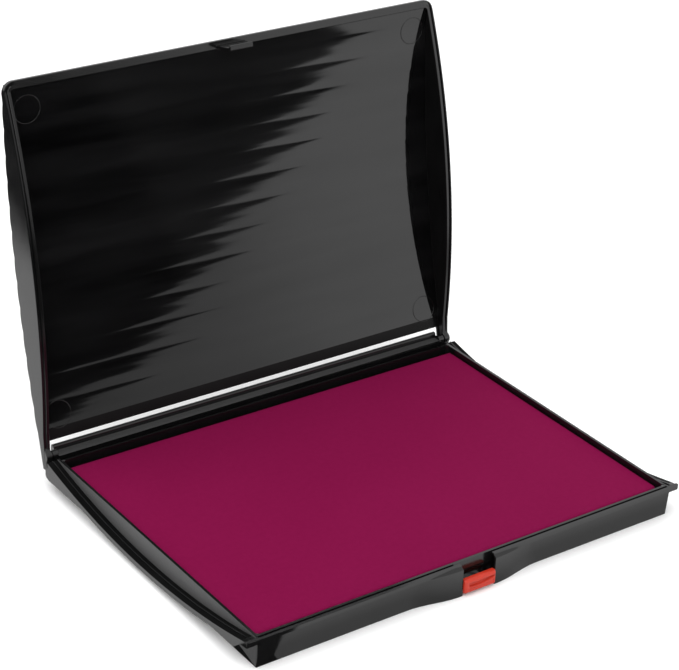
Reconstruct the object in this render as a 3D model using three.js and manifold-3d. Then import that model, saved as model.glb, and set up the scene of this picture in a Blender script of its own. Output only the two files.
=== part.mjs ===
// Large-format stamp ink pad: a shallow black moulded tray holding a cloth-covered
// felt pad, with an arched, ribbed lid hinged along the back edge and a red tilting
// latch tab in a notch at the front. The lid is shown leaning on its open stop.
//
// Millimetres, +Z up. Origin: centre of the tray's underside. +X runs to the right
// along the hinge, +Y to the back. Lid pieces are drawn closed, in a frame that lies
// on the hinge axis, and their group is then turned to the open angle.

import * as THREE from 'three';
import { mergeVertices } from 'three/addons/utils/BufferGeometryUtils.js';
import Module from 'manifold-3d';

const wasm = await Module();
wasm.setup();

// ---------------------------------------------------------------- driving dimensions

const PAD = { halfX: 105, halfY: 74, top: 11.9, cloth: 0.5, cornerR: 2.5 };
const WELL = { halfX: 105.55, halfY: 76.8, floor: 4.2, rim: 14, cornerR: 1.6 };
const WALL = 1.2;
const FLANGE = { outerX: 111.8, rearY: 79.4, thickness: 2.3, drop: 0.8, ridge: 0.4 };
const HINGE = { y: 84, z: 14, openDeg: 99.4, pinR: 1, lobeR: 2.4, padB: -1.3 };
const LID = { halfX: 110.8, innerX: 108.6, rimX: 107.7, frontA: 166.3, rearA: 5.1, tailA: -6.2 };
const ROOF = { crownA: 80, crownB: 9.1, radius: 600, thickness: 1.8 };
const RIM = { b: 0.3, middleA: 83, sag: 8.9, halfChord: 79 };
const LOBES = { firstA: 10.5, pitch: 11.27, count: 13, depth: 0.65, steps: 6 };
const LEDGE = { halfX: 105, frontY: 80.8, lipY: 85.9, rearY: 88.6, top: 14.3, lipTop: 16.8 };
const NOTCH = { halfX: 8.4, flareX: 34, flareOut: 2.2, pocketY: -76, pocketTop: 8.7 };
const TAB = { halfX: 8, frontY: -83.6, lipY: -80.5, lipZ: 6.6, top: 7.5, pivotY: -79.9, pivotZ: 3.2 };
const HOOK = { rootX: 7.3, tipX: 5.8, frontA: 164.2, thickness: 1.4, tipB: -8.6, barb: 1 };
const CARRIER = 2;
const GAP = 0.3;

// Plan places that follow from the driving dimensions.
const SIDE_X = WELL.halfX + WALL;
const INNER_WALL_Y = -(WELL.halfY + WALL - 0.1);
const RIM_LIP_Y = -80.4;
const FRONT_TOP_Y = -79.9;
const FRONT_FOOT_Y = -78.6;
const LUG_Y = 81.4;

// ---------------------------------------------------------------- solid modelling kit

// A closed mesh as a solid that can be joined to or cut from another.
function solid(geometry) {
  const bare = geometry.clone();
  bare.deleteAttribute('normal');
  bare.deleteAttribute('uv');
  const merged = mergeVertices(bare, 1e-5);
  const vertProperties = new Float32Array(merged.attributes.position.array);
  const triVerts = new Uint32Array(merged.index.array);
  return new wasm.Manifold(new wasm.Mesh({ numProp: 3, vertProperties, triVerts }));
}

// A solid turned back into a flat-shaded geometry.
function geometryOf(body) {
  const mesh = body.getMesh();
  const geometry = new THREE.BufferGeometry();
  const positions = new THREE.BufferAttribute(new Float32Array(mesh.vertProperties), 3);
  geometry.setAttribute('position', positions);
  geometry.setIndex(Array.from(mesh.triVerts));
  geometry.computeVertexNormals();
  return geometry;
}

const joined = (first, ...rest) => rest.reduce((sum, next) => sum.add(next), first);
const cut = (first, ...rest) => rest.reduce((left, next) => left.subtract(next), first);

function extruded(shape, depth, curveSegments = 8) {
  return new THREE.ExtrudeGeometry(shape, { depth, bevelEnabled: false, curveSegments });
}

// An outline in the Y-Z plane, pushed along X from x0 to x1.
function slabX(outline, x0, x1) {
  const shape = outline instanceof THREE.Shape ? outline : new THREE.Shape(outline);
  const turn = new THREE.Matrix4().makeBasis(
    new THREE.Vector3(0, 1, 0),
    new THREE.Vector3(0, 0, 1),
    new THREE.Vector3(1, 0, 0),
  );
  const geometry = extruded(shape, x1 - x0).applyMatrix4(turn).translate(x0, 0, 0);
  return solid(geometry);
}

// An outline in the X-Y plane, pushed up from z0 to z1.
function slabZ(shape, z0, z1) {
  return solid(extruded(shape, z1 - z0).translate(0, 0, z0));
}

function block(x0, x1, y0, y1, z0, z1) {
  const geometry = new THREE.BoxGeometry(x1 - x0, y1 - y0, z1 - z0);
  geometry.translate((x0 + x1) / 2, (y0 + y1) / 2, (z0 + z1) / 2);
  return solid(geometry);
}

// A round bar along X, centred on (y, z).
function barX(radius, x0, x1, y, z, sides = 24) {
  const geometry = new THREE.CylinderGeometry(radius, radius, x1 - x0, sides);
  geometry.rotateZ(-Math.PI / 2).translate((x0 + x1) / 2, y, z);
  return solid(geometry);
}

// A rounded rectangle with its own corner radius at the front and at the back.
function roundedRect(halfX, y0, y1, frontR, backR = frontR) {
  const shape = new THREE.Shape();
  shape.moveTo(-halfX + frontR, y0);
  shape.lineTo(halfX - frontR, y0);
  shape.absarc(halfX - frontR, y0 + frontR, frontR, -Math.PI / 2, 0);
  shape.lineTo(halfX, y1 - backR);
  shape.absarc(halfX - backR, y1 - backR, backR, 0, Math.PI / 2);
  shape.lineTo(-halfX + backR, y1);
  shape.absarc(-halfX + backR, y1 - backR, backR, Math.PI / 2, Math.PI);
  shape.lineTo(-halfX, y0 + frontR);
  shape.absarc(-halfX + frontR, y0 + frontR, frontR, Math.PI, Math.PI * 1.5);
  return shape;
}

const points = (count, at) => Array.from({ length: count + 1 }, (_, i) => at(i / count));
const point = (u, v) => new THREE.Vector2(u, v);

// Both sides of a piece that the object has at the left and at the right.
const mirrored = (make) => joined(make(1), make(-1));
const spanX = (side, near, far) => (side > 0 ? [near, far] : [-far, -near]);

// ---------------------------------------------------------------- shared curves

// Height over the hinge axis of the lid's side rims, at distance a in front of it.
// They bow below the tray's rim between the hinge and the front.
function rimB(a) {
  const radius = (RIM.halfChord ** 2 + RIM.sag ** 2) / (2 * RIM.sag);
  const along = Math.min(Math.abs(a - RIM.middleA), RIM.halfChord);
  return RIM.b - RIM.sag + radius - Math.sqrt(radius ** 2 - along ** 2);
}

// Floor of the tray's side channels, which the rims drop into.
const channelZ = (y) => HINGE.z + rimB(HINGE.y - y) - FLANGE.drop;

// Height over the hinge axis of the lid's outer skin, before its ribs.
function archB(a) {
  const along = a - ROOF.crownA;
  return ROOF.crownB - ROOF.radius + Math.sqrt(ROOF.radius ** 2 - along ** 2);
}

// How far the skin dips between two of its shallow convex lobes.
function notchDip(a, depth) {
  const across = (a - LOBES.firstA) / LOBES.pitch;
  if (across < 0 || across > LOBES.count) return 0;
  return depth * (2 * (across % 1) - 1) ** 2;
}

// The ribbed skin from near the front edge to near the tail.
function roofLine(offset, depth, frontA, rearA) {
  const stops = points(LOBES.count * LOBES.steps, (t) => {
    return LOBES.firstA + LOBES.pitch * LOBES.count * t;
  });
  const inside = stops.filter((a) => a > rearA + 0.5 && a < frontA - 0.5).reverse();
  return [frontA, ...inside, rearA].map((a) => {
    return point(-a, archB(a) - offset - notchDip(a, depth));
  });
}

// ---------------------------------------------------------------- tray

// One side flange: a strip that follows the channel floor, with a low sealing ridge
// along its middle and a raised outer edge.
function flange(side) {
  const strip = (lift, thickness, near, far, y0, y1) => {
    const top = points(40, (t) => y0 + (y1 - y0) * t).map((y) => point(y, channelZ(y) + lift));
    const under = top.map((p) => point(p.x, p.y - lift - thickness)).reverse();
    return slabX([...top, ...under], ...spanX(side, near, far));
  };
  const frontY = RIM_LIP_Y + 1;
  const floor = strip(0, FLANGE.thickness, SIDE_X - 0.5, FLANGE.outerX, frontY, FLANGE.rearY);
  const ridge = strip(FLANGE.ridge, 1, SIDE_X + 2, SIDE_X + 2.6, frontY, FLANGE.rearY);
  const [x0, x1] = spanX(side, SIDE_X - 0.5, FLANGE.outerX);
  const endWall = block(x0, x1, FLANGE.rearY - 2, FLANGE.rearY, 10, 12.8);
  return joined(floor, ridge, endWall, flangeEnd(side));
}

// The flange deepens towards the hinge and ends in a lug that the open lid leans on.
function flangeEnd(side) {
  const outline = [
    point(46, 5.6),
    point(78.5, 5),
    point(80.6, 5.6),
    point(LUG_Y, 6.6),
    point(LUG_Y, 9),
    point(FLANGE.rearY, 11),
    point(FLANGE.rearY, 12),
    ...points(12, (t) => FLANGE.rearY - (FLANGE.rearY - 46) * t).map((y) => {
      return point(y, channelZ(y) - 0.5);
    }),
  ];
  const skirt = slabX(outline, ...spanX(side, FLANGE.outerX - 1.6, FLANGE.outerX));
  const lug = slabX(
    [
      point(FLANGE.rearY - 4, 5.2),
      point(80.6, 5.6),
      point(LUG_Y, 6.6),
      point(LUG_Y, 9),
      point(FLANGE.rearY, 11),
      point(FLANGE.rearY - 4, 11),
    ],
    ...spanX(side, SIDE_X - 0.5, FLANGE.outerX - 1),
  );
  return joined(skirt, lug);
}

// The front wall swells outwards on both sides of the latch notch, under a sloping
// shoulder, while the rim above it stays straight.
function frontSwell(inset, footZ, halfWidth) {
  const widths = points(34, (t) => halfWidth * (2 * t - 1));
  const climb = (x) => Math.min(1, (NOTCH.flareX - Math.abs(x)) / 25);
  const reach = (x) => (1 - Math.cos(Math.PI * climb(x))) / 2;
  const layer = (lean) => widths.map((x) => {
    const wallY = FRONT_FOOT_Y - 1.1 * lean.up;
    return [x, wallY - lean.out * NOTCH.flareOut * reach(x) - lean.foot * reach(x) + inset];
  });
  const levels = [
    { z: footZ, line: layer({ up: 0, out: 1, foot: 1.3 }) },
    { z: 12.5, line: layer({ up: 1, out: 1, foot: 0 }) },
    { z: 13.5, line: layer({ up: 1, out: 0.3, foot: 0 }) },
  ];
  return loft(levels, INNER_WALL_Y + 0.3 - inset / 3);
}

// A solid skinned over stacked lines that all end on one flat back plane.
function loft(levels, backY) {
  const count = levels[0].line.length;
  const vertices = levels.flatMap(({ z, line }) => [
    ...line.map(([x, y]) => [x, y, z]),
    ...line.map(([x]) => [x, backY, z]),
  ]);
  const at = (level, i, back) => level * 2 * count + (back ? count : 0) + i;
  const faces = [];
  const quad = (a, b, c, d) => faces.push(a, b, c, a, c, d);
  const top = levels.length - 1;
  for (let i = 0; i < count - 1; i += 1) {
    quad(at(0, i, true), at(0, i + 1, true), at(0, i + 1, false), at(0, i, false));
    quad(at(top, i, false), at(top, i + 1, false), at(top, i + 1, true), at(top, i, true));
    for (let level = 0; level < top; level += 1) {
      const up = level + 1;
      quad(at(level, i, false), at(level, i + 1, false), at(up, i + 1, false), at(up, i, false));
      quad(at(level, i + 1, true), at(level, i, true), at(up, i, true), at(up, i + 1, true));
    }
  }
  for (let level = 0; level < top; level += 1) {
    const up = level + 1;
    const last = count - 1;
    quad(at(level, 0, true), at(level, 0, false), at(up, 0, false), at(up, 0, true));
    quad(at(level, last, false), at(level, last, true), at(up, last, true), at(up, last, false));
  }
  const geometry = new THREE.BufferGeometry();
  const positions = new THREE.BufferAttribute(new Float32Array(vertices.flat()), 3);
  geometry.setAttribute('position', positions);
  geometry.setIndex(faces);
  return solid(geometry);
}

// The walled tray without its fittings: plan-rounded body, hinge ledge and corner steps.
function trayBody() {
  const walls = slabX(
    [
      point(FRONT_FOOT_Y, 0),
      point(FLANGE.rearY, 0),
      point(FLANGE.rearY, WELL.rim),
      point(FRONT_TOP_Y, WELL.rim),
      point(FRONT_TOP_Y, 12.4),
    ],
    -SIDE_X,
    SIDE_X,
  );
  const corners = slabZ(roundedRect(SIDE_X, FRONT_TOP_Y - 2, LEDGE.rearY, 3.5, 2), -1, 20);
  const rearFoot = slabX(
    [
      point(FLANGE.rearY - 1, 0),
      point(LEDGE.rearY - 0.4, 0),
      point(LEDGE.rearY, 7.2),
      point(FLANGE.rearY - 1, 7.2),
    ],
    -SIDE_X,
    SIDE_X,
  );
  const lip = points(6, (t) => Math.PI * t).map((angle) => {
    const halfLip = (LEDGE.rearY - LEDGE.lipY) / 2;
    const crown = LEDGE.lipTop - halfLip;
    return point(LEDGE.rearY - halfLip + halfLip * Math.cos(angle), crown + halfLip * Math.sin(angle));
  });
  const ledge = slabX(
    [
      point(FLANGE.rearY - 1, 0.5),
      point(LEDGE.rearY - 0.4, 0.5),
      ...lip,
      point(LEDGE.lipY, LEDGE.top),
      point(FLANGE.rearY - 1, LEDGE.top),
    ],
    -LEDGE.halfX,
    LEDGE.halfX,
  );
  return joined(walls, rearFoot).intersect(corners).add(ledge);
}

// The rim that runs along the front and ends in a rounded ear at each corner.
function frontRim() {
  return slabZ(roundedRect(FLANGE.outerX, RIM_LIP_Y, -78.4, 1.4, 0.6), 12.4, WELL.rim);
}

// Two low walls at the ends of the notch carry the tab's pivots.
function notchCheek(side) {
  const [x0, x1] = spanX(side, NOTCH.halfX, NOTCH.halfX + 1.6);
  return block(x0, x1, -81, INNER_WALL_Y + 0.3, 0.6, 5.2);
}

// A boss past each end of the ledge holds a hinge pin.
function hingeBoss(side) {
  const [x0, x1] = spanX(side, LEDGE.halfX - 0.5, LID.rimX - 0.4);
  const bar = barX(2, x0, x1, HINGE.y, HINGE.z, 28);
  const stem = block(x0, x1, HINGE.y - 1.9, HINGE.y + 1.9, 6, HINGE.z);
  return bar.add(stem);
}

function baseTray() {
  const bosses = mirrored(hingeBoss);
  const outer = joined(
    trayBody(),
    frontRim(),
    mirrored(flange),
    frontSwell(0, 0, NOTCH.flareX),
    bosses,
  );

  const well = slabZ(
    roundedRect(WELL.halfX, -WELL.halfY, WELL.halfY, WELL.cornerR),
    WELL.floor,
    WELL.rim + 5,
  );
  const gutterHalf = SIDE_X - 0.6;
  const frontGutter = block(-gutterHalf, gutterHalf, INNER_WALL_Y - 1, INNER_WALL_Y, 11, 20);
  const rearGroove = block(-gutterHalf, gutterHalf, -INNER_WALL_Y, LEDGE.frontY, 11, 20);
  const swellHollow = frontSwell(1.2, 1.2, 22);
  const notch = block(-NOTCH.halfX, NOTCH.halfX, -90, INNER_WALL_Y, -1, 20);
  const pocket = block(-9.2, 9.2, INNER_WALL_Y - 1, NOTCH.pocketY, -1, NOTCH.pocketTop);
  const pocketBack = block(-10.2, 10.2, INNER_WALL_Y + 0.5, NOTCH.pocketY + 1, 0, 9.7);

  let tray = cut(outer, well, frontGutter, rearGroove, swellHollow);
  tray = joined(tray, pocketBack);
  tray = cut(tray, notch, pocket);
  tray = joined(tray, mirrored(notchCheek));

  const pinBores = mirrored((side) => {
    const [x0, x1] = spanX(side, LEDGE.halfX, LEDGE.halfX + 4);
    return barX(HINGE.pinR + 0.05, x0, x1, HINGE.y, HINGE.z);
  });
  const pivotBores = barX(0.8, -NOTCH.halfX - 1, NOTCH.halfX + 1, TAB.pivotY, TAB.pivotZ);
  const underside = cut(
    slabZ(roundedRect(103, -72, 75, 4), -1, WELL.floor - 2),
    solid(new THREE.CylinderGeometry(16, 16, 8, 40).rotateX(Math.PI / 2)),
    block(-110, 110, -0.8, 0.8, 0.6, 5),
    block(-52.8, -51.2, -80, 80, 0.6, 5),
    block(51.2, 52.8, -80, 80, 0.6, 5),
  );
  return cut(tray, pinBores, pivotBores, underside);
}

// ---------------------------------------------------------------- lid

// The side view of the closed lid, from its ribbed skin down to its rim.
function lidProfile() {
  const top = roofLine(0, LOBES.depth, LID.frontA - 0.9, LID.tailA + 0.8);
  const rim = points(44, (t) => LID.frontA * t).map((a) => point(-a, rimB(a)));
  const front = point(-LID.frontA, archB(LID.frontA) - 1);
  const tail = [
    point(-LID.tailA, archB(LID.tailA) - 0.8),
    point(-LID.tailA, RIM.b + 0.6),
    point(-LID.tailA - 0.6, RIM.b),
  ];
  return [front, ...top, ...tail, ...rim];
}

// The hollow under the roof, down to a given height over the rim line.
function lidHollow(halfX, lift, frontA, rearA) {
  const roof = roofLine(ROOF.thickness, LOBES.depth / 2, frontA, rearA);
  const under = points(30, (t) => rearA + (frontA - rearA) * t);
  return slabX([...roof, ...under.map((a) => point(-a, rimB(a) + lift))], -halfX, halfX);
}

// The hook tapers towards its tip, where a barb stands out on the front.
function lidHook() {
  const rearA = HOOK.frontA - HOOK.thickness;
  const barbTop = HOOK.tipB + 0.8;
  const side = slabX(
    [
      point(-rearA, RIM.b + 1.5),
      point(-HOOK.frontA, RIM.b + 1.5),
      point(-HOOK.frontA, barbTop + 0.1),
      point(-HOOK.frontA - HOOK.barb, barbTop),
      point(-HOOK.frontA - HOOK.barb, barbTop - 0.3),
      point(-HOOK.frontA, HOOK.tipB),
      point(-rearA, HOOK.tipB),
    ],
    -HOOK.rootX,
    HOOK.rootX,
  );
  const taper = new THREE.Shape([
    point(-HOOK.rootX, RIM.b + 1.5),
    point(-HOOK.rootX, RIM.b),
    point(-HOOK.tipX, HOOK.tipB),
    point(HOOK.tipX, HOOK.tipB),
    point(HOOK.rootX, RIM.b),
    point(HOOK.rootX, RIM.b + 1.5),
  ]);
  const plan = extruded(taper, 8).rotateX(Math.PI / 2).translate(0, -HOOK.frontA + 4, 0);
  return side.intersect(solid(plan));
}

// The lower end of each lid arm stands proud of the rim around the hinge pin.
function lidArmFront(side) {
  const [x0, x1] = spanX(side, LID.rimX, LID.halfX);
  const bar = barX(HINGE.lobeR, x0, x1, 0, 0, 28);
  const pad = slabX(
    [
      point(-4, 1),
      point(-3.2, HINGE.padB),
      point(-LID.tailA - 0.5, HINGE.padB),
      point(-LID.tailA, HINGE.padB + 0.5),
      point(-LID.tailA, 1),
    ],
    x0,
    x1,
  );
  return bar.add(pad);
}

function lidShell() {
  const planY0 = -LID.frontA;
  const plan = slabZ(roundedRect(LID.halfX, planY0, -LID.tailA, 5, 0.8), -40, 40);
  const lobes = mirrored(lidArmFront);
  const outer = slabX(lidProfile(), -LID.halfX, LID.halfX).intersect(plan).add(lobes);

  const wallA = LID.frontA - 3.6;
  const wideHollow = lidHollow(LID.innerX, 1.6, wallA - 2.7, 14).intersect(
    slabZ(roundedRect(LID.innerX, -wallA + 2.7, -14, 3), -40, 40),
  );
  const mouth = lidHollow(LID.rimX, -20, wallA, 0).intersect(
    slabZ(roundedRect(LID.rimX, -wallA, 20, 3), -40, 40),
  );
  const betweenArms = block(-LID.rimX, LID.rimX, -LID.rearA, 20, -20, 20);
  const rimGroove = mirrored((side) => {
    const line = points(40, (t) => 4 + (LID.frontA - 7) * t);
    const top = line.map((a) => point(-a, rimB(a) + 0.8));
    const under = line.map((a) => point(-a, rimB(a) - 2)).reverse();
    return slabX([...top, ...under], ...spanX(side, LID.halfX - 1.7, LID.halfX - 0.7));
  });
  const hookRelief = block(-7.9, 7.9, -HOOK.frontA - 0.9, -HOOK.frontA, -3, RIM.b + 0.7);
  const pinBores = mirrored((side) => {
    const [x0, x1] = spanX(side, LID.rimX - 1, LID.halfX - 1);
    return barX(HINGE.pinR + 0.08, x0, x1, 0, 0);
  });

  const shell = cut(
    outer,
    wideHollow,
    mouth,
    betweenArms,
    rimGroove,
    hookRelief,
    pinBores,
  );
  return joined(shell, lidHook());
}

// ---------------------------------------------------------------- latch

// A tab that tilts on its own side pivots. A lip along its top edge holds the hook's
// barb; pressing its lower half swings the lip outwards.
function latchTab() {
  const body = slabX(
    [
      point(-82.2, 1.2),
      point(TAB.frontY + 0.7, 1.2),
      point(TAB.frontY + 0.2, 1.7),
      point(TAB.frontY, 6.5),
      point(TAB.frontY + 0.4, 7.2),
      point(TAB.frontY + 1, TAB.top),
      point(TAB.lipY - 0.2, TAB.top),
      point(TAB.lipY, TAB.top - 0.2),
      point(TAB.lipY, TAB.lipZ),
      point(-81.7, TAB.lipZ),
      point(-81.7, 4),
      point(-79.4, 4),
      point(-79, 3.6),
      point(-79, 2.8),
      point(-79.4, 2.4),
      point(-82.2, 2.4),
    ],
    -TAB.halfX,
    TAB.halfX,
  );
  const pivots = mirrored((side) => {
    const [x0, x1] = spanX(side, TAB.halfX - 0.5, NOTCH.halfX + 0.8);
    return barX(0.7, x0, x1, TAB.pivotY, TAB.pivotZ, 20);
  });
  const scoopR = 9;
  const scoop = barX(scoopR, -5.6, 6.4, TAB.frontY - scoopR + 0.6, 3.9, 64);
  return joined(body.subtract(scoop), fingerRidge(), pivots);
}

// A low ridge that bows down across the tab's hollow, for the fingertip.
function fingerRidge() {
  const arch = (lift) => points(12, (t) => 5.2 * (2 * t - 1)).map((x) => {
    return point(x + 0.4, 3.1 + 1.1 * (x / 5.2) ** 2 + lift);
  });
  const band = new THREE.Shape([...arch(0), ...arch(0.7).reverse()]);
  const geometry = extruded(band, 1).rotateX(Math.PI / 2).translate(0, TAB.frontY + 1.2, 0);
  return solid(geometry);
}

// A bowed steel strip between the pocket's back wall and the tab's lower half.
function latchSpring() {
  const halfX = 6.6;
  const endY = NOTCH.pocketY - 0.3 - 0.25;
  const crownY = -81.9;
  const thickness = 0.25;
  const bow = (t) => {
    const x = halfX * (2 * t - 1);
    const rise = Math.cos((Math.PI * x) / (2 * halfX)) ** 1.5;
    return point(x, endY + (crownY - endY) * rise);
  };
  const front = points(24, bow);
  const back = front.map((p) => point(p.x, p.y + thickness)).reverse();
  return slabZ(new THREE.Shape([...front, ...back]), 1.2, 2.2);
}

// ---------------------------------------------------------------- ink pad

function padCarrier() {
  const half = PAD.halfX - 0.9;
  const shape = roundedRect(half, -PAD.halfY + 0.9, PAD.halfY - 0.9, 2);
  return slabZ(shape, WELL.floor, WELL.floor + CARRIER);
}

function feltCore() {
  const half = PAD.halfX - 0.9;
  const shape = roundedRect(half, -PAD.halfY + 0.9, PAD.halfY - 0.9, 2);
  return slabZ(shape, WELL.floor + CARRIER, PAD.top - PAD.cloth);
}

// The cloth lies over the felt and down all four sides.
function coverCloth() {
  const skin = slabZ(
    roundedRect(PAD.halfX, -PAD.halfY, PAD.halfY, PAD.cornerR),
    WELL.floor + 0.1,
    PAD.top,
  );
  const inner = PAD.halfX - 0.7;
  const hollow = slabZ(
    roundedRect(inner, -PAD.halfY + 0.7, PAD.halfY - 0.7, 2.1),
    WELL.floor - 1,
    PAD.top - PAD.cloth,
  );
  return skin.subtract(hollow);
}

// ---------------------------------------------------------------- materials and assembly

function finish(color, roughness, metalness = 0) {
  return new THREE.MeshStandardMaterial({ color, roughness, metalness });
}

const blackPlastic = () => finish(0x141414, 0.35);
const redPlastic = () => finish(0xd84b30, 0.35);
const springSteel = () => finish(0xb8bcc0, 0.3, 1);
const pinPlastic = () => finish(0x1b1b1b, 0.4);
const boardPlastic = () => finish(0xd9d6cf, 0.7);
const inkedFelt = () => finish(0x6e1038, 0.95);
const inkedCloth = () => finish(0x85144a, 0.9);

function part(name, body, material) {
  const mesh = new THREE.Mesh(geometryOf(body), material);
  mesh.name = name;
  return mesh;
}

function hingePin(side) {
  const [x0, x1] = spanX(side, LEDGE.halfX + GAP, LID.halfX - 1 - GAP);
  return barX(HINGE.pinR, x0, x1, HINGE.y, HINGE.z);
}

function inkPad() {
  const assembly = new THREE.Group();
  assembly.add(part('base_tray', baseTray(), blackPlastic()));
  assembly.add(part('hinge_pin_left', hingePin(-1), pinPlastic()));
  assembly.add(part('hinge_pin_right', hingePin(1), pinPlastic()));
  assembly.add(part('latch_tab', latchTab(), redPlastic()));
  assembly.add(part('latch_spring', latchSpring(), springSteel()));
  assembly.add(part('pad_carrier', padCarrier(), boardPlastic()));
  assembly.add(part('felt_core', feltCore(), inkedFelt()));
  assembly.add(part('cover_cloth', coverCloth(), inkedCloth()));

  const openLid = new THREE.Group();
  openLid.position.set(0, HINGE.y, HINGE.z);
  openLid.rotation.x = -THREE.MathUtils.degToRad(HINGE.openDeg);
  openLid.add(part('lid_shell', lidShell(), blackPlastic()));
  assembly.add(openLid);
  return assembly;
}

export default inkPad();
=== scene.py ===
"""Looks of the large stamp ink pad: black hinged case, red latch, magenta cloth pad."""

import math

import bmesh
import bpy
from mathutils import Matrix, Vector


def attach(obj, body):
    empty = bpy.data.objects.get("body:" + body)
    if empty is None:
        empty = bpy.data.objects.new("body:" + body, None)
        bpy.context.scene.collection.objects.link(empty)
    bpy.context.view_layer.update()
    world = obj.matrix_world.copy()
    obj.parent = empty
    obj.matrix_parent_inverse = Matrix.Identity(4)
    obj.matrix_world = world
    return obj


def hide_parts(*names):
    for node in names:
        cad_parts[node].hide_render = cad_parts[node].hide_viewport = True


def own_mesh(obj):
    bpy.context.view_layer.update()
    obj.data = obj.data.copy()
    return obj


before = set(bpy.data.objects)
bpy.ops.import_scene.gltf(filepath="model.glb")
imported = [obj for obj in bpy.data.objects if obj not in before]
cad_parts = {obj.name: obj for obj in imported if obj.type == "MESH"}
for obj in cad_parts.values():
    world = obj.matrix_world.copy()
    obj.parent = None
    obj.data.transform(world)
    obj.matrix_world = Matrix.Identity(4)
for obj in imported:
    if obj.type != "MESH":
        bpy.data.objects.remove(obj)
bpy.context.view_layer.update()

MM = 0.001

# Sizes in millimetres, in the frame of the CAD part. On the lid, a runs from the hinge
# to its front edge and b from its rim up to its skin.
HINGE_Y, HINGE_Z, OPEN = 84.0, 14.0, math.radians(99.4)
LID_HALF_X, LID_FRONT_A, LID_REAR_A, LID_TAIL_A, CORNER_R = 110.8, 166.3, 5.1, -6.2, 5.0
RIM_B, RIM_MIDDLE, RIM_SAG, RIM_CHORD = 0.3, 83.0, 8.9, 79.0
CROWN_A, CROWN_B, CROWN_R, ROOF_T = 80.0, 9.1, 600.0, 1.8
LOBE_FIRST, LOBE_PITCH, LOBES, LOBE_STEPS = 10.5, 11.27, 13, 12
LOBE_OUTER, LOBE_INNER = 0.65, 0.045
RING_X, RING_A, RING_R = 100, (16, 152.7), 6.2
PAD_X, PAD_Y, PAD_TOP, PAD_FOOT = 105.0, 74.0, 11.9, 4.5

# The studio's pale side: the azimuth of its near edge at eye level, how far that edge
# leans for each degree of elevation, and its glow by azimuth. Angles in degrees.
CARD_FAR, CARD_EDGE, CARD_LEAN = 12.0, 24.0, 0.72
CARD_LEVELS = (
    (10.0, 0.5),
    (24.0, 0.6),
    (26.0, 0.7),
    (28.0, 0.84),
    (29.5, 0.98),
    (31.0, 1.22),
    (32.0, 1.36),
    (34.0, 1.48),
    (90.0, 1.45),
)

CAMERA_PLACE, CAMERA_LENS = (-0.49733, -0.65704, 0.50467), 116.8
CAMERA_AZIMUTH, CAMERA_ELEVATION, CAMERA_ROLL = 36.231, -27.218, 2.408


# ------------------------------------------------------------------ mesh helpers


def link(name, mesh):
    piece = bpy.data.objects.new(name, mesh)
    bpy.context.scene.collection.objects.link(piece)
    return piece


def open_mesh(name, verts, faces, unit=1.0):
    mesh = bpy.data.meshes.new(name)
    mesh.from_pydata([tuple(c * unit for c in v) for v in verts], [], faces)
    return mesh


def mesh_object(name, verts, faces, smooth=30.0):
    """A closed mesh from millimetre points, normals outward and hard edges kept."""
    mesh = open_mesh(name, verts, faces, MM)
    work = bmesh.new()
    work.from_mesh(mesh)
    bmesh.ops.remove_doubles(work, verts=work.verts, dist=1e-7)
    bmesh.ops.recalc_face_normals(work, faces=work.faces)
    work.to_mesh(mesh)
    work.free()
    piece = link(name, mesh)
    shade(piece, smooth)
    return piece


def shade(piece, angle):
    for face in piece.data.polygons:
        face.use_smooth = True
    piece.data.set_sharp_from_angle(angle=math.radians(angle))


def merge(name, pieces):
    """Joins shells into one piece."""
    work = bmesh.new()
    for piece in pieces:
        work.from_mesh(piece.data)
    mesh = pieces[0].data
    work.to_mesh(mesh)
    work.free()
    for piece in pieces[1:]:
        bpy.data.objects.remove(piece)
    pieces[0].name = name
    mesh.name = name
    return pieces[0]


def bevelled(piece, width):
    """Rounds the hard edges of a piece and bakes the result into its mesh."""
    bevel = piece.modifiers.new("bevel", "BEVEL")
    bevel.width = width * MM
    bevel.segments = 2
    bevel.limit_method = "ANGLE"
    bevel.angle_limit = math.radians(32)
    bevel.harden_normals = True
    bevel.miter_outer = "MITER_ARC"
    bake(piece)
    return piece


def bake(piece):
    bpy.context.view_layer.update()
    graph = bpy.context.evaluated_depsgraph_get()
    done = bpy.data.meshes.new_from_object(piece.evaluated_get(graph), depsgraph=graph)
    piece.modifiers.clear()
    piece.data = done


def even_normals(piece):
    """Keeps large flat faces flat where they meet small rounded ones."""
    even = piece.modifiers.new("even", "WEIGHTED_NORMAL")
    even.keep_sharp = True
    bake(piece)


def tube_faces(rings, count, closed=False):
    """Faces between rings of points. If closed, the last ring meets the first."""
    faces = []
    for k in range(rings if closed else rings - 1):
        here, there = k * count, (k + 1) % rings * count
        for i in range(count):
            j = (i + 1) % count
            faces.append((here + i, here + j, there + j, there + i))
    return faces


def grid_faces(rows, count):
    """Faces between open rows of points."""
    starts = [row * count + i for row in range(rows - 1) for i in range(count - 1)]
    return [(k, k + count, k + count + 1, k + 1) for k in starts]


def capped_tube(name, rings, smooth=30.0):
    """A closed piece through rings of points, flat at both ends."""
    count = len(rings[0])
    verts = [v for ring in rings for v in ring]
    last = range(len(verts) - count, len(verts))
    faces = [tuple(range(count)), tuple(reversed(last))]
    return mesh_object(name, verts, faces + tube_faces(len(rings), count), smooth)


def prism(name, outline, x0, x1, place, bevel=0.0):
    """An outline in two coordinates, pushed along the third and put in place."""
    piece = capped_tube(name, [[place(x, u, v) for u, v in outline] for x in (x0, x1)])
    return bevelled(piece, bevel) if bevel else piece


def straight(x, y, z):
    return (x, y, z)


def upright(z, x, y):
    return (x, y, z)


def arc(cx, cy, radius, start, end, count):
    """Points along an arc. The angles are in radians."""
    angles = [start + (end - start) * i / count for i in range(count + 1)]
    return [(cx + radius * math.cos(t), cy + radius * math.sin(t)) for t in angles]


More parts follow.
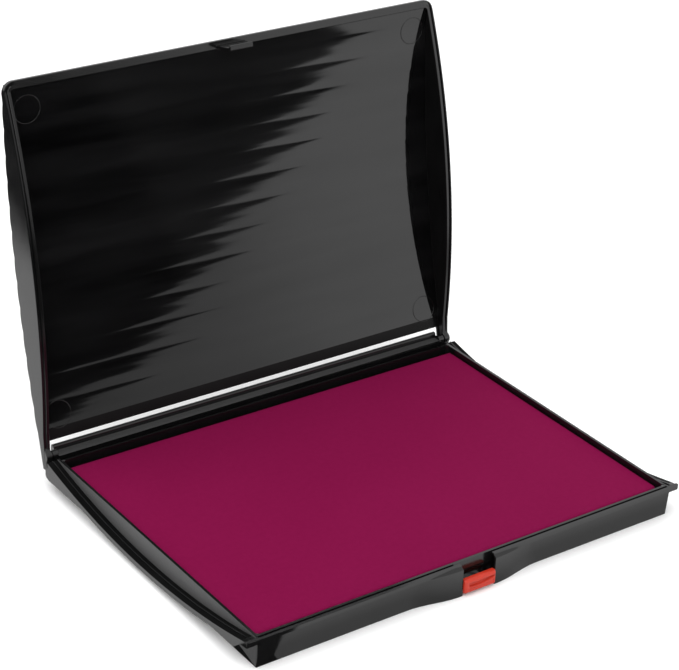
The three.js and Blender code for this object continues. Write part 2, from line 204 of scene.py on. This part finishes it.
def circle(cx, cy, radius, count):
    return arc(cx, cy, radius, 0, 2 * math.pi, count)[:-1]


def ramp(value, low, high):
    """Rises smoothly from 0 at low to 1 at high."""
    t = min(1.0, max(0.0, (value - low) / (high - low)))
    return t * t * (3 - 2 * t)


# ------------------------------------------------------------------ lid


def in_lid(x, a, b):
    """From the lid's own frame, a along it and b up from its rim, to the open pose."""
    y = HINGE_Y - a * math.cos(OPEN) + b * math.sin(OPEN)
    z = HINGE_Z + a * math.sin(OPEN) + b * math.cos(OPEN)
    return (x, y, z)


def rim_b(a):
    """The rim's gentle curve along the side of the lid."""
    radius = (RIM_CHORD**2 + RIM_SAG**2) / (2 * RIM_SAG)
    along = min(abs(a - RIM_MIDDLE), RIM_CHORD)
    return RIM_B - RIM_SAG + radius - math.sqrt(radius**2 - along**2)


def arch_b(a):
    return CROWN_B - CROWN_R + math.sqrt(CROWN_R**2 - (a - CROWN_A) ** 2)


def dip(a, depth, sharp=2.0):
    """How far the skin dips between two of its shallow lobes."""
    across = (a - LOBE_FIRST) / LOBE_PITCH
    if across < 0 or across > LOBES:
        return 0.0
    return depth * abs(2 * (across % 1) - 1) ** sharp


def skin_b(a):
    return arch_b(a) - dip(a, LOBE_OUTER)


def lining_b(a):
    return arch_b(a) - ROOF_T - dip(a, LOBE_INNER, 4.0)


def stations(start, end):
    """Places along the lid: close together on every lobe, and on both ends."""
    inner = [
        LOBE_FIRST + LOBE_PITCH * i / LOBE_STEPS for i in range(LOBES * LOBE_STEPS + 1)
    ]
    return [start] + [a for a in inner if start + 0.4 < a < end - 0.4] + [end]


def wall_loop(x, a, inward, front):
    """The section of the lid's rim wall at one place on its outline, as lid points."""
    edge, crest = 0.16, 0.9
    groove_out, groove_in = 0.7, 1.7
    thick = 3.1 + 0.5 * front
    upper = thick - 0.9 * ramp(a, 11, 15) * (1 - front)
    rim = rim_b(a)
    room = lining_b(a) - rim - 0.15
    fillet = min(room, 0.15)
    groove = 0.8 * (1 - front) * ramp(a, 3, 5) + 0.001
    shelf = max(edge, min(1.9, room - fillet - 0.3))

    def at(inset):
        return x + inward[0] * inset, a + inward[1] * inset

    def put(inset, b):
        return in_lid(*at(inset), b)

    def top(inset, drop=0.0):
        return put(inset, skin_b(at(inset)[1]) - drop)

    def under(inset, drop=0.0):
        return put(inset, lining_b(at(inset)[1]) - drop)

    loop = [put(edge, rim), put(edge * 0.3, rim + edge * 0.3), put(0, rim + edge)]
    for i in range(6):
        turn = math.pi / 2 * i / 5
        loop.append(top(crest * (1 - math.cos(turn)), crest * (1 - math.sin(turn))))
    reach = upper + fillet
    loop += [top(reach + 0.6), under(reach + 0.6, -0.6), under(reach + 0.3, -0.02)]
    for i in range(7):
        turn = math.pi / 2 * i / 6
        inset, drop = reach - fillet * math.sin(turn), fillet * (1 - math.cos(turn))
        loop.append(under(inset, drop))
    loop += [
        put(upper, rim + shelf),
        put(thick, rim + shelf - 0.1 - 0.3 * (1 - front)),
        put(thick, rim + edge * 0.9),
        put(thick - edge, rim),
        put(groove_in + edge, rim),
        put(groove_in, rim + min(edge, groove)),
        put(groove_in, rim + groove),
        put(groove_out, rim + groove),
        put(groove_out, rim + min(edge, groove)),
        put(groove_out - edge, rim),
    ]
    return loop


def lid_walls():
    """The wall that runs up one side, across the front and down the other side."""
    corner_a = LID_FRONT_A - CORNER_R
    corner_x = LID_HALF_X - CORNER_R
    turns, spans = 12, 40
    left = [(-LID_HALF_X, a, (1.0, 0.0), 0.0) for a in stations(LID_TAIL_A, corner_a)]
    for i in range(1, turns + 1):
        angle = math.pi / 2 * i / turns
        away = (-math.cos(angle), math.sin(angle))
        place = (-corner_x + CORNER_R * away[0], corner_a + CORNER_R * away[1])
        left.append((*place, (-away[0], -away[1]), ramp(i, 0, turns)))
    across = [
        (-corner_x + 2 * corner_x * i / spans, LID_FRONT_A, (0.0, -1.0), 1.0)
        for i in range(1, spans)
    ]
    right = [(-x, a, (-n[0], n[1]), w) for x, a, n, w in reversed(left)]
    loops = [wall_loop(*place) for place in left + across + right]
    return capped_tube("lid_walls", loops, 35)


def lid_roof():
    """The ribbed plate between the walls, with a rounded rear edge."""
    along = stations(LID_REAR_A + 0.9, LID_FRONT_A - 1.6)
    half_x, half_t = LID_HALF_X - 1.2, ROOF_T / 2
    line = [(a, skin_b(a) - 0.02) for a in reversed(along)]
    middle = skin_b(along[0]) - half_t
    for i in range(1, 8):
        turn = math.pi * i / 8
        line.append((along[0] - 0.9 * math.sin(turn), middle + half_t * math.cos(turn)))
    line += [(a, lining_b(a)) for a in along]
    return prism("lid_roof", line, -half_x, half_x, in_lid)


def lid_arm(side):
    """The lower end of the arm, which stands a little proud round the hinge pin."""
    outline = [(4.2, 0.9), (3.4, -0.2)]
    outline += arc(0, 0, 2.4, math.radians(-25), math.radians(-120), 8)
    outline += [(-2.4, -1.3), (-5.4, -1.3), (-6.1, -0.7), (-6.1, 0.9)]
    x0, x1 = sorted((side * 107.75, side * 110.72))
    return prism("lid_arm", outline, x0, x1, in_lid, 0.25)


def lid_hook():
    """The hook at the lid's front edge: a tapered plate with a barb on its front."""
    outline = [(162.9, 1.4), (164.2, 1.4), (164.2, -7.6), (165.1, -7.8), (165.1, -8.2)]
    outline += [(164.7, -8.6), (163.0, -8.6), (162.8, -8.3)]
    piece = prism("lid_hook", outline, -7.3, 7.3, in_lid, 0.22)
    tip = Vector(in_lid(0, 164, -8.6)) * MM
    root = Vector(in_lid(0, 164, 0.3)) * MM
    along = (tip - root).length
    for vert in piece.data.vertices:
        reach = (vert.co - root).dot(tip - root) / along**2
        vert.co.x *= 1 - 0.2 * max(0.0, reach)
    return piece


def thin_bead(name, centre_line, radius):
    """A closed thin round bead that follows a line of (x, a, b) points on the lid."""
    sides = 8
    verts = []
    for i, (x, a, b) in enumerate(centre_line):
        before, after = centre_line[i - 1], centre_line[(i + 1) % len(centre_line)]
        along = Vector((after[0] - before[0], after[1] - before[1], 0)).normalized()
        for j in range(sides):
            turn = 2 * math.pi * j / sides
            shift = Vector((along.y, -along.x, 0)) * (radius * math.cos(turn))
            verts.append(in_lid(x + shift.x, a + shift.y, b + radius * math.sin(turn)))
    return mesh_object(name, verts, tube_faces(len(centre_line), sides, True), 80)


def witness_ring(x, a):
    """A faint moulded ring on the lining."""
    line = [(cx, ca, lining_b(ca) + 0.03) for cx, ca in circle(x, a, RING_R, 48)]
    return thin_bead("ring", line, 0.16)


def hook_outline():
    """A low moulded line with round ends, about the hook's root."""
    half_x, rise, middle = 7.7, 1.0, 163.4
    quarter = math.pi / 2
    slot = arc(half_x - rise, middle, rise, -quarter, quarter, 8)
    slot += arc(-half_x + rise, middle, rise, quarter, 3 * quarter, 8)
    return thin_bead("root_line", [(x, a, RIM_B + 0.02) for x, a in slot], 0.14)


def make_lid():
    shells = [lid_walls(), lid_roof(), lid_arm(1), lid_arm(-1), lid_hook()]
    shells += [witness_ring(x, a) for x in (-RING_X, RING_X) for a in RING_A]
    shells.append(hook_outline())
    lid = merge("lid", shells)
    even_normals(lid)
    paint_lid(lid)
    return lid


def lid_coordinates(point):
    """The inverse of in_lid, for a point in metres."""
    y, z = point.y / MM - HINGE_Y, point.z / MM - HINGE_Z
    a = -y * math.cos(OPEN) + z * math.sin(OPEN)
    b = y * math.sin(OPEN) + z * math.cos(OPEN)
    return point.x / MM, a, b


def dress(piece, *materials):
    piece.data.materials.clear()
    for made in materials:
        piece.data.materials.append(made)


def paint_lid(lid):
    """The lining is polished and the rest of the lid is satin; the side walls' inner
    faces and the lining's strip by the hinge get a rougher, less glossy copy of the
    satin as painted shade.
    """
    satin, lining, painted_shade_slot = range(3)
    # Painted shade: the same satin black with less gloss, so these faces reflect
    # darker.
    painted_shade = satin_black("lid_painted_shade", 0.3, 0.12)
    dress(lid, satin_black("lid_satin", 0.13), lining_black(), painted_shade)
    for face in lid.data.polygons:
        x, a, b = lid_coordinates(face.center)
        inside = abs(x) < 108.9 and LID_REAR_A < a < 162.75
        inward = face.normal.x * math.copysign(1.0, x) < -0.5 and abs(x) > 107
        by_hinge = inside and a < 9.5
        on_ring = inside and 90 < abs(x) < 107
        on_lining = inside and rim_b(a) + 0.25 < b < arch_b(a) - 1.2
        # The inner faces of the side walls and the strip by the hinge take the painted
        # shade.
        if inward or by_hinge:
            face.material_index = painted_shade_slot
        elif on_lining and not on_ring:
            face.material_index = lining
        else:
            face.material_index = satin


# ------------------------------------------------------------------ tray


def cad_copy(node, name, bevel):
    """A CAD solid with its flat faces merged and its long hard edges rounded."""
    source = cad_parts[node]
    mesh = source.data.copy()
    mesh.name = name
    work = bmesh.new()
    work.from_mesh(mesh)
    work.transform(source.matrix_world)
    bmesh.ops.remove_doubles(work, verts=work.verts, dist=2e-6)
    flat = math.radians(0.4)
    bmesh.ops.dissolve_limit(work, angle_limit=flat, verts=work.verts, edges=work.edges)
    hard = [
        edge
        for edge in work.edges
        if edge.is_manifold
        and edge.calc_face_angle() > math.radians(32)
        and edge.calc_length() > 2.2 * bevel * MM
    ]
    bmesh.ops.bevel(
        work,
        geom=hard,
        offset=bevel * MM,
        offset_type="OFFSET",
        segments=2,
        profile=0.5,
        affect="EDGES",
        clamp_overlap=True,
    )
    bmesh.ops.triangulate(work, faces=[f for f in work.faces if len(f.verts) > 4])
    work.to_mesh(mesh)
    work.free()
    piece = link(name, mesh)
    shade(piece, 24)
    even_normals(piece)
    return piece


def make_tray():
    """The tray: grained on its rear ledge and side walls, paler there as painted sheen,
    and given a less glossy copy of the satin on its channels' floors as painted shade.
    """
    tray = cad_copy("base_tray", "tray", 0.2)
    satin, ledge, side, channel = range(4)
    dress(
        tray,
        satin_black("tray_satin", 0.1),
        # Painted sheen: the ledge and the side walls get grained copies paler than the
        # satin black.
        grain_and_sheen_black("ledge_grain_and_sheen", 0.02, 0.045),
        grain_and_sheen_black("side_grain_and_sheen", 0.05, 0.075),
        # Painted shade: the channels' floors get the satin black with almost no gloss.
        satin_black("channel_painted_shade", 0.3, 0.02),
    )
    for face in tray.data.polygons:
        x, y, z = face.center / MM
        on_ledge = 81.6 < y < 86.2 and abs(x) < 105 and z > 14.0
        on_side = 106.5 < abs(x) < 107 and z > 4.6 and abs(y) < 79
        on_flange = abs(x) > 106.8 and z < 13
        on_ridge = 108.7 < abs(x) < 109.4
        if on_side and abs(face.normal.x) > 0.95:
            face.material_index = side
        elif on_flange and face.normal.z > 0.7 and not on_ridge:
            face.material_index = channel
        elif on_ledge and face.normal.z > 0.9:
            face.material_index = ledge
        else:
            face.material_index = satin
    return tray


# ------------------------------------------------------------------ latch


def tab_face_y(x, z, half_x, foot, head, front):
    """The tab's front: rounded edges, and a hollow panel with a curved finger rest."""
    round_x = 0.9 * (1 - ramp(half_x - abs(x), -0.4, 0.9))
    round_z = 0.8 * (1 - ramp(min(z - foot, head - z), -0.3, 0.9))
    panel = (
        ramp(x, -6.2, -5.7)
        * (1 - ramp(x, 6.7, 7.2))
        * ramp(z, 1.9, 2.3)
        * (1 - ramp(z, 5.7, 6.0))
    )
    line = 4.0 + 0.62 * (x / 5.5) ** 2 + 0.04 * x
    finger_rest = 0.8 * (1 - ramp(z, line - 0.3, line + 0.25))
    crest = 0.42 * math.exp(-(((z - line + 0.5) / 0.3) ** 2))
    return front + round_x + round_z + (1.25 - finger_rest - crest) * panel


def make_tab():
    """The red tab: a block with a hollowed face, a lip, a heel and two stubs."""
    half_x, foot, head, front, back = 8.0, 1.25, 7.5, -83.55, -81.75
    nx, nz = 96, 40
    verts = []
    for i in range(nx + 1):
        for j in range(nz + 1):
            x = -half_x + 2 * half_x * i / nx
            z = foot + (head - foot) * j / nz
            verts.append((x, tab_face_y(x, z, half_x, foot, head, front), z))
    faces = grid_faces(nx + 1, nz + 1)
    rim = [i * (nz + 1) for i in range(nx + 1)]
    rim += [nx * (nz + 1) + j for j in range(1, nz + 1)]
    rim += [i * (nz + 1) + nz for i in range(nx - 1, -1, -1)]
    rim += [j for j in range(nz - 1, 0, -1)]
    start, count = len(verts), len(rim)
    verts += [(verts[k][0], back, verts[k][2]) for k in rim]
    for i in range(count):
        j = (i + 1) % count
        faces.append((rim[i], rim[j], start + j, start + i))
    faces.append(tuple(range(start, start + count)))

    lip = [(-82.3, 6.65), (-80.7, 6.65), (-80.5, 6.85), (-80.5, 7.3), (-80.7, 7.48)]
    lip += [(-82.3, 7.48)]
    heel = [(-82.2, 2.45), (-79.4, 2.45), (-79.05, 2.8), (-79.05, 3.6), (-79.4, 3.95)]
    heel += [(-82.2, 3.95)]
    shells = [mesh_object("tab_face", verts, faces, 50)]
    for name, outline, reach in (
        ("tab_lip", lip, 7.9),
        ("tab_heel", heel, 7.9),
        ("tab_pin", circle(-79.9, 3.2, 0.7, 32), 9.2),
    ):
        shells.append(prism(name, outline, -reach, reach, straight, 0.12))
    tab = merge("tab", shells)
    dress(tab, red_plastic())
    return tab


def make_spring():
    """A bowed leaf strip."""
    half_x, end_y, crown_y, thick = 6.6, -76.55, -81.9, 0.24
    front = []
    for i in range(65):
        x = half_x * (2 * i / 64 - 1)
        rise = math.cos(math.pi * x / (2 * half_x))
        front.append((x, end_y + (crown_y - end_y) * max(rise, 0.0) ** 1.5))
    back = [(x, y + thick) for x, y in reversed(front)]
    spring = prism("spring", front + back, 1.2, 2.2, upright, 0.05)
    dress(spring, steel())
    return spring


# ------------------------------------------------------------------ ink pad


def rounded_outline(half_x, half_y, radius):
    """A rectangle with round corners."""
    line = []
    for sx, sy, start in ((1, 1, 0), (-1, 1, 90), (-1, -1, 180), (1, -1, 270)):
        centre = (sx * (half_x - radius), sy * (half_y - radius))
        begin = math.radians(start)
        line += arc(*centre, radius, begin, begin + math.pi / 2, 8)
    return line


def make_cloth():
    """Fine cloth stretched over the felt and down its sides."""
    step, round_r, reach, hem_steps = 1.5, 1.1, PAD_TOP - PAD_FOOT, 6
    bend = round_r * math.pi / 2

    def fold(s, half):
        """From distance along the cloth to a place across the pad and a height."""
        flat = half - round_r
        over = abs(s) - flat
        sign = math.copysign(1.0, s)
        if over <= 0:
            return s, 0.0
        if over < bend:
            turn = over / round_r
            place = sign * (flat + round_r * math.sin(turn))
            return place, round_r * (math.cos(turn) - 1)
        return sign * half, -round_r - (over - bend)

    def span(half):
        """Distances along the cloth, closer together where it turns down."""
        edge = half - round_r
        full = edge + bend + reach - round_r
        count = int(2 * half / step) - 2
        inner = [edge * (2 * i / count - 1) for i in range(count + 1)]
        outer = [edge + (full - edge) * i / hem_steps for i in range(1, hem_steps + 1)]
        return [-s for s in reversed(outer)] + inner + outer

    rows, columns = span(PAD_X), span(PAD_Y)
    verts = []
    for sx in rows:
        for sy in columns:
            x, down_x = fold(sx, PAD_X)
            y, down_y = fold(sy, PAD_Y)
            verts.append((*pulled_corner(x, y, 2.5), PAD_TOP + min(down_x, down_y)))
    faces = grid_faces(len(rows), len(columns))
    cloth = link("pad_cloth", open_mesh("pad_cloth", verts, faces, MM))
    shade(cloth, 180)
    dress(cloth, ink_cloth())
    return cloth


def pulled_corner(x, y, radius):
    """Draws a point in to the pad's rounded corner."""
    cx, cy = PAD_X - radius, PAD_Y - radius
    over_x, over_y = abs(x) - cx, abs(y) - cy
    if over_x <= 0 or over_y <= 0:
        return x, y
    far = math.hypot(over_x, over_y)
    if far <= radius:
        return x, y
    scale = radius / far
    return math.copysign(cx + over_x * scale, x), math.copysign(cy + over_y * scale, y)


def make_felt():
    """The felt: a soft-edged slab with a slightly uneven top."""
    half_x, half_y, foot, head = PAD_X - 0.75, PAD_Y - 0.75, 6.25, PAD_TOP - 0.45
    soft = 0.9
    levels = [(0.35, foot), (0.0, foot + 0.35), (0.0, head - soft)]
    for turn in (0.4, 0.8, 1.2):
        z = head - soft + soft * math.sin(turn)
        levels.append((soft * (1 - math.cos(turn)), z))
    levels += [(soft, head), (3.0, head + 0.02), (9.0, head)]
    rings = []
    for inset, z in levels:
        outline = rounded_outline(half_x - inset, half_y - inset, max(2.2 - inset, 0.4))
        rings.append([(x, y, z) for x, y in outline])
    felt = capped_tube("felt", rings, 60)
    dress(felt, felt_red())
    return felt


# ------------------------------------------------------------------ materials


def material(name):
    made = bpy.data.materials.new(name)
    made.use_nodes = True
    tree = made.node_tree
    shader = tree.nodes["Principled BSDF"]
    place = tree.nodes.new("ShaderNodeTexCoord").outputs["Object"]
    return made, tree, shader, place


def noise(tree, place, scale, detail, rough=0.55):
    node = tree.nodes.new("ShaderNodeTexNoise")
    node.inputs["Scale"].default_value = scale
    node.inputs["Detail"].default_value = detail
    node.inputs["Roughness"].default_value = rough
    tree.links.new(place, node.inputs["Vector"])
    return node.outputs["Fac"]


def remap(tree, value, low, high, out_low, out_high):
    node = tree.nodes.new("ShaderNodeMapRange")
    for name, number in (
        ("From Min", low),
        ("From Max", high),
        ("To Min", out_low),
        ("To Max", out_high),
    ):
        node.inputs[name].default_value = number
    tree.links.new(value, node.inputs["Value"])
    return node.outputs["Result"]


def combine(tree, operation, *values):
    """Arithmetic on outputs of other nodes and plain numbers."""
    node = tree.nodes.new("ShaderNodeMath")
    node.operation = operation
    for value, socket in zip(values, node.inputs):
        if isinstance(value, float):
            socket.default_value = value
        else:
            tree.links.new(value, socket)
    return node.outputs[0]


def bump(tree, shader, height, strength, distance):
    node = tree.nodes.new("ShaderNodeBump")
    node.inputs["Strength"].default_value = strength
    node.inputs["Distance"].default_value = distance
    tree.links.new(height, node.inputs["Height"])
    tree.links.new(node.outputs["Normal"], shader.inputs["Normal"])


def two_tone(tree, shader, factor, dark, light):
    node = tree.nodes.new("ShaderNodeValToRGB")
    ends = node.color_ramp.elements
    ends[0].position, ends[0].color = 0.3, (*dark, 1)
    ends[1].position, ends[1].color = 0.7, (*light, 1)
    tree.links.new(factor, node.inputs["Fac"])
    tree.links.new(node.outputs["Color"], shader.inputs["Base Color"])


def uneven_roughness(tree, shader, factor, smooth, rough):
    level = remap(tree, factor, 0.3, 0.7, smooth, rough)
    tree.links.new(level, shader.inputs["Roughness"])


def mottled(name, scale, dark, light, smooth, rough):
    """A material whose tone and roughness vary a little together."""
    made, tree, shader, place = material(name)
    cloud = noise(tree, place, scale, 3)
    two_tone(tree, shader, cloud, dark, light)
    uneven_roughness(tree, shader, cloud, smooth, rough)
    return made, tree, shader, place


def satin_black(name, roughness, gloss=0.5):
    """Black moulded plastic with a fine spark-eroded grain."""
    dark, light = (0.0035, 0.0035, 0.0036), (0.005, 0.005, 0.0051)
    made, tree, shader, place = mottled(
        name, 60, dark, light, roughness - 0.03, roughness + 0.04
    )
    shader.inputs["Specular IOR Level"].default_value = gloss
    bump(tree, shader, noise(tree, place, 2600, 2), 0.12, 0.0001)
    return made


def grain_and_sheen_black(name, dark, light):
    """Black plastic with a coarse spark-eroded grain; the caller's tones, paler than
    the satin black, are painted sheen.
    """
    made, tree, shader, place = material(name)
    grain = noise(tree, place, 1500, 3)
    tones = [(level, level, level * 1.01) for level in (dark, light)]
    two_tone(tree, shader, grain, *tones)
    uneven_roughness(tree, shader, grain, 0.42, 0.56)
    bump(tree, shader, grain, 0.6, 0.0003)
    return made


def lining_black():
    """Polished black plastic with faint flow marks."""
    made, tree, shader, place = material("lid_lining")
    stretch = tree.nodes.new("ShaderNodeMapping")
    stretch.inputs["Scale"].default_value = (0.1, 1.0, 1.0)
    tree.links.new(place, stretch.inputs["Vector"])
    flow = noise(tree, stretch.outputs["Vector"], 120, 2, 0.5)
    smear = noise(tree, place, 45, 4)
    streak = noise(tree, stretch.outputs["Vector"], 75, 3, 0.6)
    two_tone(tree, shader, streak, (0.001, 0.001, 0.0011), (0.0062, 0.0062, 0.0064))
    uneven_roughness(tree, shader, smear, 0.035, 0.06)
    bump(tree, shader, flow, 0.35, 0.00018)
    return made


def red_plastic():
    dark, light = (0.4, 0.022, 0.009), (0.46, 0.028, 0.012)
    made, tree, shader, place = mottled("latch_red", 180, dark, light, 0.3, 0.4)
    shader.inputs["Specular IOR Level"].default_value = 0.35
    bump(tree, shader, noise(tree, place, 1500, 2), 0.08, 0.0001)
    return made


def steel():
    dark, light = (0.42, 0.43, 0.45), (0.55, 0.56, 0.58)
    made, _, shader, _ = mottled("spring_steel", 400, dark, light, 0.22, 0.36)
    shader.inputs["Metallic"].default_value = 1.0
    return made


def pin_black():
    dark, light = (0.012, 0.012, 0.012), (0.018, 0.018, 0.018)
    return mottled("pin_black", 300, dark, light, 0.3, 0.42)[0]


def carrier_white():
    dark, light = (0.55, 0.5, 0.48), (0.66, 0.62, 0.6)
    return mottled("carrier_plastic", 120, dark, light, 0.5, 0.65)[0]


def felt_red():
    made, tree, shader, place = material("inked_felt")
    fibre = noise(tree, place, 900, 6, 0.7)
    two_tone(tree, shader, fibre, (0.12, 0.004, 0.03), (0.2, 0.008, 0.055))
    shader.inputs["Roughness"].default_value = 0.95
    bump(tree, shader, fibre, 0.6, 0.0004)
    return made


def ink_cloth():
    """Fine plain-woven cloth, evenly soaked, with a slight sheen."""
    made, tree, shader, place = material("inked_cloth")
    threads = []
    for direction in ("X", "Y"):
        wave = tree.nodes.new("ShaderNodeTexWave")
        wave.bands_direction = direction
        wave.inputs["Scale"].default_value = 520
        wave.inputs["Distortion"].default_value = 0.6
        wave.inputs["Detail Scale"].default_value = 3
        tree.links.new(place, wave.inputs["Vector"])
        threads.append(wave.outputs["Fac"])
    weave = combine(tree, "MAXIMUM", *threads)
    mottle = noise(tree, place, 420, 5, 0.7)
    broad = remap(tree, noise(tree, place, 16, 3), 0.3, 0.7, 0.04, 0.2)
    both = combine(tree, "MULTIPLY_ADD", mottle, 0.75, broad)
    two_tone(tree, shader, both, (0.148, 0.003, 0.038), (0.17, 0.0045, 0.045))
    shader.inputs["Roughness"].default_value = 0.85
    shader.inputs["Specular IOR Level"].default_value = 0.03
    bump(tree, shader, weave, 0.25, 0.00012)
    return made


def floor_white():
    made, tree, shader, place = material("floor_white")
    dark, light = (0.93, 0.93, 0.93), (0.95, 0.95, 0.95)
    two_tone(tree, shader, noise(tree, place, 3, 2), dark, light)
    shader.inputs["Roughness"].default_value = 0.9
    shader.inputs["Specular IOR Level"].default_value = 0.0
    return made


# ------------------------------------------------------------------ stage and camera


def make_floor():
    size = 9.0
    corners = [(-size, -size, 0), (size, -size, 0), (size, size, 0), (-size, size, 0)]
    floor = link("floor", open_mesh("floor", corners, [(0, 1, 2, 3)]))
    floor.location.z = -0.0002
    dress(floor, floor_white())
    floor.visible_glossy = False


def soft_light(name, place, aim, size, power, glossy):
    """A square lamp. Glossy says whether polished faces show it."""
    lamp = bpy.data.lights.new(name, "AREA")
    lamp.shape = "RECTANGLE"
    lamp.size = lamp.size_y = size
    lamp.energy = power
    light = link(name, lamp)
    light.location = place
    towards = Vector(aim) - Vector(place)
    light.rotation_euler = towards.to_track_quat("-Z", "Y").to_euler()
    light.visible_glossy = glossy


def direction(azimuth, elevation):
    """Azimuth turns from -Y towards +X; both in degrees."""
    az, el = math.radians(azimuth), math.radians(elevation)
    flat = math.cos(el)
    return Vector((math.sin(az) * flat, -math.cos(az) * flat, math.sin(el)))


def glow_card(name, verts, faces, strength):
    """A glowing sheet that only shows where something polished reflects it."""
    card = link(name, open_mesh(name, verts, faces))
    made = bpy.data.materials.new(name)
    made.use_nodes = True
    tree = made.node_tree
    tree.nodes.clear()
    out = tree.nodes.new("ShaderNodeOutputMaterial")
    glow = tree.nodes.new("ShaderNodeEmission")
    glow.inputs["Strength"].default_value = strength
    tree.links.new(glow.outputs[0], out.inputs["Surface"])
    dress(card, made)
    card.visible_camera = False
    card.visible_diffuse = False
    card.visible_shadow = False
    card.visible_transmission = False
    return card, tree, glow.inputs["Strength"]


def split_axes(tree, coordinates):
    node = tree.nodes.new("ShaderNodeSeparateXYZ")
    source = tree.nodes.new("ShaderNodeTexCoord").outputs[coordinates]
    tree.links.new(source, node.inputs[0])
    return node.outputs


def reflected_card():
    """The studio's pale side, seen only in the polished case. Its near edge leans."""
    first, last, columns = -50.0, 110.0, 320
    low, high, rows = -55.0, 25.0, 160
    azimuth_scale, edge_scale = 100.0, 20.0
    centre = Vector((0.0, 0.1, 0.1))
    verts, places = [], []
    for i in range(rows + 1):
        elevation = low + (high - low) * i / rows
        edge = CARD_EDGE - CARD_LEAN * elevation - 0.9 * ramp(elevation, -2.7, -1.9)
        for j in range(columns + 1):
            azimuth = first + (last - first) * j / columns
            verts.append(centre + direction(azimuth, elevation) * CARD_FAR)
            beyond = (azimuth - edge) / edge_scale + 0.5
            places.append((max(azimuth, 0.0) / azimuth_scale, beyond))
    faces = grid_faces(rows + 1, columns + 1)
    card, tree, strength = glow_card("reflected_card", verts, faces, 1.0)
    layer = card.data.uv_layers.new(name="place")
    for loop in card.data.loops:
        layer.data[loop.index].uv = places[loop.vertex_index]
    axes = split_axes(tree, "UV")
    levels = tree.nodes.new("ShaderNodeValToRGB")
    stops = levels.color_ramp.elements
    for azimuth, level in CARD_LEVELS:
        stops.new(azimuth / azimuth_scale).color = (level, level, level, 1)
    stops.remove(stops[0])
    stops.remove(stops[-1])
    tree.links.new(axes["X"], levels.inputs["Fac"])
    past_edge = remap(tree, axes["Y"], 0.495, 0.505, 0.0, 1.0)
    faint = remap(tree, axes["X"], 0.281, 0.286, 0.0, 0.06)
    bright = combine(tree, "MULTIPLY", levels.outputs["Color"], past_edge)
    tree.links.new(combine(tree, "MAXIMUM", bright, faint), strength)


def near_floor():
    """What the case's walls reflect of the floor: pale by its foot, else dark, and
    dimming towards the front wall as a painted contact shadow.
    """
    far, edge = 1.5, 3
    foot_x, corner_x, front_y, left_y = -0.0965, -0.038, -0.13, -0.062
    slant = [(foot_x, -0.0815), (corner_x, front_y)]
    left = [(-0.22, left_y), (-0.1045, left_y), (-0.1045, far), (-0.22, far)]
    front = slant + [(far, front_y), (far, 0), (foot_x, 0)]
    side = [(0.105, 0), (far, 0), (far, far), (0.105, far)]
    dark = [(-edge, -edge), (corner_x, -edge), slant[1], slant[0]]
    dark += [(foot_x, edge), (-edge, edge)]
    pale_z, dark_z = -0.0001, -0.0004
    for number, (corners, height, glow) in enumerate(
        (
            (left, pale_z, 1.05),
            (front, pale_z, 1.0),
            (side, pale_z, 0.9),
            (dark, dark_z, 0.03),
        )
    ):
        verts = [(x, y, height) for x, y in corners]
        faces = [tuple(range(len(corners)))]
        _, tree, strength = glow_card(f"near_floor_{number}", verts, faces, glow)
        if corners is front:
            # Painted contact shadow: the reflected floor in front dims from 1.35 to 0.6
            # towards the front wall.
            y = split_axes(tree, "Object")["Y"]
            painted_contact_shadow = remap(tree, y, -0.098, -0.084, 1.35, 0.6)
            tree.links.new(painted_contact_shadow, strength)


def make_world():
    world = bpy.data.worlds.new("studio")
    world.use_nodes = True
    back = world.node_tree.nodes["Background"]
    back.inputs["Color"].default_value = (1, 1, 1, 1)
    back.inputs["Strength"].default_value = 1.0
    bpy.context.scene.world = world


def make_camera():
    lens = bpy.data.cameras.new("camera")
    lens.sensor_width = 36.0
    lens.lens = CAMERA_LENS
    lens.clip_end = 50
    camera = link("camera", lens)
    # The camera's azimuth turns from +Y towards +X.
    forward = direction(CAMERA_AZIMUTH, CAMERA_ELEVATION) * Vector((1, -1, 1))
    level = forward.to_track_quat("-Z", "Y").to_matrix()
    turned = level @ Matrix.Rotation(math.radians(CAMERA_ROLL), 3, "Z")
    camera.matrix_world = Matrix.Translation(CAMERA_PLACE) @ turned.to_4x4()
    bpy.context.scene.camera = camera


# ------------------------------------------------------------------ assembly

tray = make_tray()
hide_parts("base_tray")
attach(tray, "base")

lid = make_lid()
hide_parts("lid_shell")
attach(lid, "lid")

tab = make_tab()
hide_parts("latch_tab")
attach(tab, "latch")

spring = make_spring()
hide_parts("latch_spring")
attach(spring, "base")
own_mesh(spring)

felt = make_felt()
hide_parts("felt_core")

cloth = make_cloth()
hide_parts("cover_cloth")
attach(felt, "base")
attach(cloth, "base")

for node, made in (
    ("hinge_pin_left", pin_black()),
    ("hinge_pin_right", pin_black()),
    ("pad_carrier", carrier_white()),
):
    dress(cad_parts[node], made)

make_floor()
soft_light("key", (-0.5, 0.2, 1.5), (0, 0, 0), 1.6, 15, glossy=True)
soft_light("front", (0.1, -1.2, 1.5), (0, 0, 0), 0.7, 6, glossy=False)
soft_light("fill", (-1.3, -1.0, 0.7), (0, 0, 0.05), 1.0, 5, glossy=True)
reflected_card()
near_floor()
make_world()
make_camera()
scene = bpy.context.scene
scene.view_settings.view_transform = "Standard"
scene.view_settings.look = "None"
